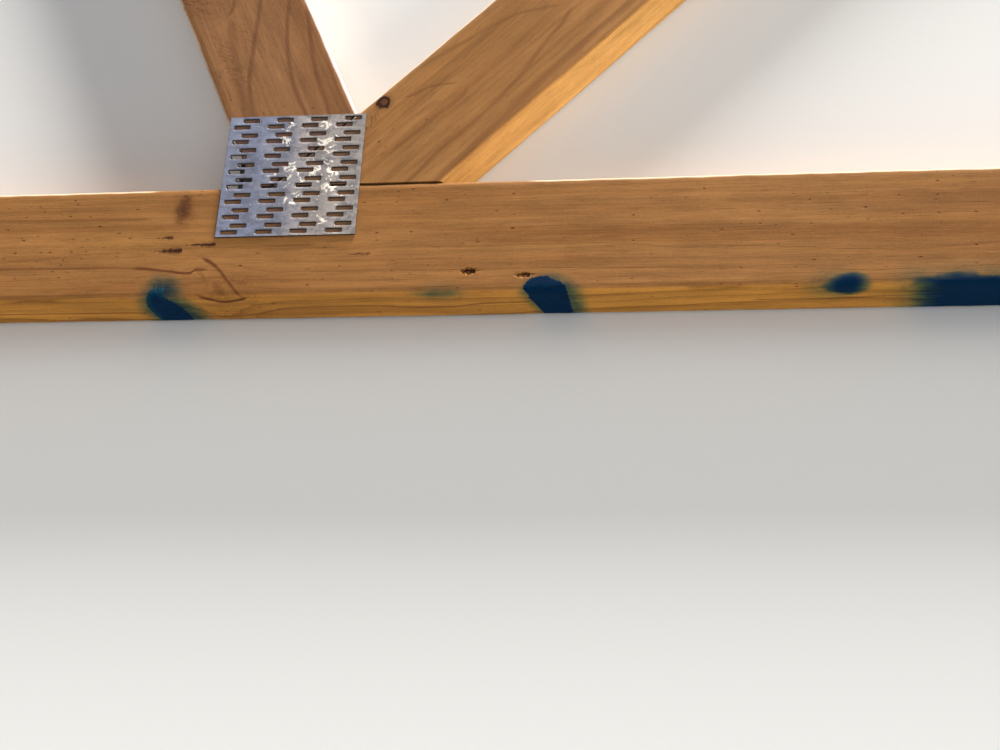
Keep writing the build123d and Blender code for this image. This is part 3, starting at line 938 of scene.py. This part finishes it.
def slot_cell(slot_x, slot_y):
    """One cell of the sheet round one slot, as six rings of fourteen points, with heights. The
    first and the last are the cell's rectangle, on the face and on the back. Those between are the
    slot's rounded outline, grown by a lip that is wider at the ends, where the teeth bend down,
    and then straight through the sheet."""
    cell_width = module_width / 2
    marks = np.append(cell_marks, module_length)
    rim_x = np.concatenate([marks, [module_length], marks[::-1], [0]])
    rim_y = np.concatenate([np.zeros(6), [cell_width / 2], np.full(6, cell_width), [cell_width / 2]])
    half = slot_length / 2
    side = np.array([-half, -half + slot_corner, -half / 3, half / 3, half - slot_corner, half])
    lift = np.array([slot_corner, 0, 0, 0, 0, slot_corner])
    hole_x = np.concatenate([side, [half], side[::-1], [-half]])
    hole_y = np.concatenate([lift - slot_width / 2, [0], slot_width / 2 - lift, [0]])
    rings = [(rim_x, rim_y, 0.0)]
    for end_share, side_share, drop in lip_rings:
        grown_x = hole_x + np.sign(hole_x) * end_share * lip * np.abs(hole_x / half) ** 4
        grown_y = hole_y * (1 + side_share * 2 * lip / slot_width)
        rings.append((slot_x + grown_x, slot_y + grown_y, -drop * sheet_thickness))
    rings.append((rim_x, rim_y, -sheet_thickness))
    return np.stack([np.stack([x, y, np.full(14, h)], 1) for x, y, h in rings])


def tooth(slot_x, slot_y, side):
    """A tooth at one end of a slot: four-sided sections that narrow to a point as they go down."""
    inner = slot_x + side * slot_length / 2
    rows = []
    for depth, half, thick in tooth_sections:
        outer = inner + side * thick
        rows.append([(inner, slot_y - half, -depth), (outer, slot_y - half, -depth),
                     (outer, slot_y + half, -depth), (inner, slot_y + half, -depth)])
    return np.array(rows)


def repeated(block, faces, shifts):
    """A block of points and its faces, repeated at each shift."""
    points = (block[None] + shifts[:, None, :]).reshape(-1, 3)
    step = np.arange(len(shifts))[:, None, None] * len(block)
    return points, (faces[None] + step).reshape(-1, 4)


def nail_plate(name, columns, rows, centre, angle, front, flip):
    """A plate: the slot cells repeated over its grid and welded where they meet, a sheared rim
    round it, and the teeth below. Heights count down from the outer face, so the back plate
    turns them over, and a plate on the right half mirrors the places along it."""
    length, width = columns * module_length, rows * module_width
    grid_x, grid_y = np.meshgrid(np.arange(columns) * module_length, np.arange(rows) * module_width)
    corners = np.stack([grid_x.ravel(), grid_y.ravel(), 0 * grid_x.ravel()], 1)
    low_slot = (module_length / 2 - stagger_x, module_width / 2 - stagger_y)
    high_slot = (module_length / 2 + stagger_x, module_width / 2 + stagger_y)
    cells = np.stack([
        slot_cell(*low_slot),
        slot_cell(high_slot[0], high_slot[1] - module_width / 2) + [0, module_width / 2, 0],
    ])
    rings = np.arange(cells.size // 3).reshape(cells.shape[:3])
    sheet = between(rings[:, :-1], rings[:, 1:], turned=True)
    points, faces = repeated(cells.reshape(-1, 3), sheet, corners)

    # Sheared rim: the border's points at the face, drawn in, and then at the edge, down to the back
    along = np.append((np.arange(columns)[:, None] * module_length + cell_marks).ravel(), length)
    up = np.linspace(0, width, rows * 4 + 1)
    border = np.concatenate([
        np.stack([along, 0 * along], 1), np.stack([0 * up + length, up], 1)[1:],
        np.stack([along[::-1], 0 * along + width], 1)[1:], np.stack([0 * up, up[::-1]], 1)[1:-1],
    ])
    levels = (0.0, -rim_drop, -sheet_thickness)
    rim = np.concatenate([np.column_stack([border, np.full(len(border), h)]) for h in levels])
    rings = np.arange(len(rim)).reshape(len(levels), -1) + len(points)
    faces = np.concatenate([faces, between(rings[:-1], rings[1:])])
    points = np.concatenate([points, rim])
    rounded = np.round(points * 1e7).astype(np.int64)
    _, first, back = np.unique(rounded, axis=0, return_index=True, return_inverse=True)
    points, faces = points[first], back.ravel()[faces]
    inset = rim_inset * (points[:, 2] > -1e-6)
    points[:, 0] = np.clip(points[:, 0], inset, length - inset)
    points[:, 1] = np.clip(points[:, 1], inset, width - inset)

    # Teeth, closed at both ends. Those at the two ends of a slot are each other's mirror image
    rings = np.arange(12).reshape(3, 4)
    around = between(rings[:-1], rings[1:], turned=True)
    around = np.concatenate([around, [[0, 3, 2, 1], [8, 9, 10, 11]]])
    for slot in (low_slot, high_slot):
        for side in (-1, 1):
            teeth, wraps = repeated(tooth(*slot, side).reshape(-1, 3), around[:, ::-side], corners)
            faces = np.concatenate([faces, wraps + len(points)])
            points = np.concatenate([points, teeth])

    # The sheet is pressed a little unevenly: outwards on the front, and inwards on the back,
    # which lies on the floor
    p, q, h = points[:, 0] - length / 2, points[:, 1] - width / 2, points[:, 2]
    swell = 1 + drift(p + 0.6 * q, 71, (0.031, 0.017)) * drift(q - 0.3 * p, 72, (0.027, 0.019))
    swell = unevenness * np.clip(swell, 0, 2) * (h > -1.01 * sheet_thickness)
    turn = math.radians(angle)
    x = centre[0] + p * math.cos(turn) - q * math.sin(turn)
    y = centre[1] + p * math.sin(turn) + q * math.cos(turn)
    z = timber_base + timber_thickness + sheet_thickness + h + swell if front else swell - h
    faces = faces[:, ::-1] if front == flip else faces
    plate = to_mesh(name, np.stack([-x if flip else x, y + datum, z], 1), faces)
    keep_at_points(plate, "depth", -millimetres * h)
    return plate


def zinc(name, centre, glints):
    """Galvanised steel: flakes of zinc that differ a little in tone and sheen, a cooler, darker
    painted shade on one side against a lit tone on the other, dull patches, and painted glints
    round these (x, y, radius, share) from its centre."""
    steel = Finish(bpy.data.materials.new(name))
    here = steel.node("TexCoord").outputs["Object"]
    shift = (-centre[0] * millimetres, -(centre[1] + datum) * millimetres, 0)
    where = steel.moved(here, shift, 0.0, (millimetres,) * 3)
    warped = steel.noise(where, (14, 14, 14), 3.0, 0.6)
    lattice = steel.moved(where, scale=(0.26, 0.3, 0.3))
    flakes = steel.node("TexVoronoi", {"Vector": lattice, "Scale": 1.0}).outputs["Color"]
    flake = steel.node("SeparateColor", {0: flakes}).outputs[0]
    clouds = steel.noise(where, (26, 22, 22), 4.0, 0.62, 3.0)
    scratch = steel.noise(steel.moved(where, turn=0.35), (16, 0.8, 8), 3.0, 0.6)
    # Painted shade: the plate gets cooler and darker towards its left side
    shaded_side = steel.ease(steel.plus(steel.split(where)[0], clouds, 60.0), 55.0, 0.0)
    steel.colour = steel.mix(shaded_side, lit_zinc, shaded_zinc)
    steel.stain(steel.ease(flake, 0.3, 1.0, 0.0, 0.55), dark_flake)
    steel.stain(steel.ease(clouds, 0.5, 0.3, 0.0, 0.55), dull_patch)

    # Painted glints: curled bright patches near the given spots, standing in for reflections off the
    # dented sheet
    curled = steel.moved(where, (9.0, 3.3, 1.0), 0.0, (1 / 8, 1 / 7, 1 / 8))
    patches = steel.node("TexNoise", {"Vector": curled, "Scale": 1.0, "Detail": 4.0,
                                      "Roughness": 0.68, "Distortion": 1.3}).outputs[0]
    near_glints = 0.0
    for spot_x, spot_y, radius, share in glints:
        beside = steel.spot(where, (spot_x, spot_y, 0.0), (radius, radius, 300.0))
        near_glints = steel.sum("MAXIMUM", near_glints, steel.ease(beside, 1.4, 0.3, 0.0, share))
    glint = steel.ease(steel.sum("ADD", near_glints, patches), 0.7, 0.76)
    steel.stain(steel.times(glint, 0.9), bright_glint)

    # The slots' rims: painted shade where the sheet turns down, less of it on the side that faces up the
    # truss, towards the light
    facing = steel.split(steel.node("NewGeometry").outputs["Normal"])
    lower_lip = steel.ease(facing[1], 0.1, 0.4)
    rim_shade = steel.ease(steel.read("depth"), 0.0, 0.07, 0.0, 0.97)
    rim_shade = steel.times(rim_shade, steel.plus(1.0, lower_lip, -0.55))
    steel.stain(rim_shade, slot_rim_shade)
    metal = steel.plus(0.85, rim_shade, -0.5, glint, -0.45)
    steel.rough = steel.plus(0.34, flake, 0.12, clouds, 0.16, glint, 0.1)
    steel.rise = steel.plus(steel.times(scratch, 0.5), patches, 1.0, warped, 2.0)
    return steel.surfaced(0.0003, 0.7, {"Metallic": metal})


def press_plates(joint, glints=((0, 0, 40, 0.1),)):
    """Both plates of a joint, and of its mirror image where it has one."""
    columns, rows, centre, angle = plate_seats[joint]
    for half in ("",) if joint == "apex" else ("_left", "_right"):
        flip = half == "_right"
        seat = (-centre[0], centre[1]) if flip else centre
        material = zinc(f"zinc_of_{joint}{half}", seat, glints)
        for face in ("front", "back"):
            plate = nail_plate(f"pressed_plate_{joint}{half}_{face}", columns, rows, centre, angle,
                               face == "front", flip)
            place(plate, f"nail_plate_{joint}{half}_{face}", material, "galvanised_plate")


press_plates("panel", glints=[
    (-6, 42, 6, 0.26), (-7, 30, 7, 0.22), (24, 24, 10, 0.24), (21, 42, 6, 0.24), (-3, 8, 8, 0.2),
    (15, 4, 8, 0.22), (27, 0, 9, 0.22), (28, -12, 8, 0.2), (41, -20, 6, 0.18), (25, -38, 8, 0.2),
    (12, -8, 40, 0.11),
])


# Heel plates
# The scarf between bottom and top chord is held by the longest plates, five modules by six.
press_plates("heel")


# Head plates
# Where a strut meets the top chord, a plate of two modules by four lies along the chord's pitch.
press_plates("head")


# Apex plates
# A plate of four modules by six on each face holds both top chords and both ties.
press_plates("apex")


# Floor, lights and camera
# A pale floor under the truss, a wide soft light above it, three low lights that catch its edges
# and run over its faces, and the camera where the photograph was taken from.
bpy.ops.mesh.primitive_plane_add(size=40, location=(0, 0, 0))
floor = bpy.context.object
floor.name = "pale_floor"
paving = Finish(bpy.data.materials.new("floor_paint"))
paving.plug(paving.tree.nodes["Principled BSDF"], {
    "Base Color": tone(226, 227, 228), "Roughness": 0.9, "Specular IOR Level": 0.1,
})
floor.data.materials.append(paving.holder)


def hang_lamp(name, kind, energy, colour, **settings):
    """A lamp of this kind with its settings, put in the scene."""
    lamp = bpy.data.lights.new(name, kind)
    lamp.energy, lamp.color = energy, colour
    for setting, value in settings.items():
        setattr(lamp, setting, value)
    holder = bpy.data.objects.new(name, lamp)
    bpy.context.scene.collection.objects.link(holder)
    return holder


softbox = hang_lamp("overhead_softbox", "AREA", 34, (1.0, 0.985, 0.96), shape="RECTANGLE",
                    size=6.5, size_y=3.0)
softbox.location = (-0.2, -1.3, 3.4)
towards_truss = Vector((-0.2, 0, 0)) - softbox.location
softbox.rotation_euler = towards_truss.to_track_quat("-Z", "Y").to_euler()

# Each low light comes from its bearing and height in degrees, at its strength and from a window
# that spreads over so many degrees
for name, azimuth, elevation, strength, spread, colour in (
    ("side_light", 10, 11, 4.4, 16, (1.0, 0.93, 0.8)),
    ("far_light", 78, 8, 11.0, 11, (1.0, 0.97, 0.92)),
    ("near_light", -118, 14, 1.2, 40, (1.0, 0.93, 0.82)),
):
    low_light = hang_lamp(name, "SUN", strength, colour, angle=math.radians(spread))
    low_light.rotation_euler = (0, math.radians(90 - elevation), math.radians(azimuth))

# The room is dim where it lights the truss, and bright where the camera, metal or glass sees it
studio = Finish(bpy.data.worlds.new("studio"))
bpy.context.scene.world = studio.holder
rays = studio.node("LightPath").outputs
seen = studio.sum("MAXIMUM", rays["Is Camera Ray"], rays["Is Glossy Ray"])
seen = studio.sum("MAXIMUM", seen, rays["Is Transmission Ray"])
level = studio.node("MapRange", {0: seen, 3: 0.25, 4: 0.85}).outputs[0]
studio.plug(studio.tree.nodes["Background"], {0: (0.93, 0.95, 1.0, 1.0), 1: level})

# The camera looks from below the chord's lower edge and from its front, which is up here. Pitch,
# yaw and roll are the photograph's, with its height along Y and its depth down -Z.
camera_pitch, camera_yaw, camera_roll = (math.radians(d) for d in (25.977, -8.922, 3.165))
ahead = Vector((math.sin(camera_yaw) * math.cos(camera_pitch), math.sin(camera_pitch),
                -math.cos(camera_yaw) * math.cos(camera_pitch)))
level_right = Vector((math.cos(camera_yaw), 0, math.sin(camera_yaw)))
level_up = level_right.cross(ahead)
right = level_right * math.cos(camera_roll) + level_up * math.sin(camera_roll)
up = level_up * math.cos(camera_roll) - level_right * math.sin(camera_roll)
focal_pixels, picture_width = 1798.0, 1000
view = bpy.data.cameras.new("camera")
view.sensor_width = 36
view.lens = focal_pixels * view.sensor_width / picture_width
camera = bpy.data.objects.new("camera", view)
stance = Matrix((right, up, -ahead)).transposed().to_4x4()
stance.translation = Vector((-0.6877, -0.5884 + datum, 1.1005))
camera.matrix_world = stance
bpy.context.scene.collection.objects.link(camera)
bpy.context.scene.camera = camera
bpy.context.scene.view_settings.view_transform = "Standard"
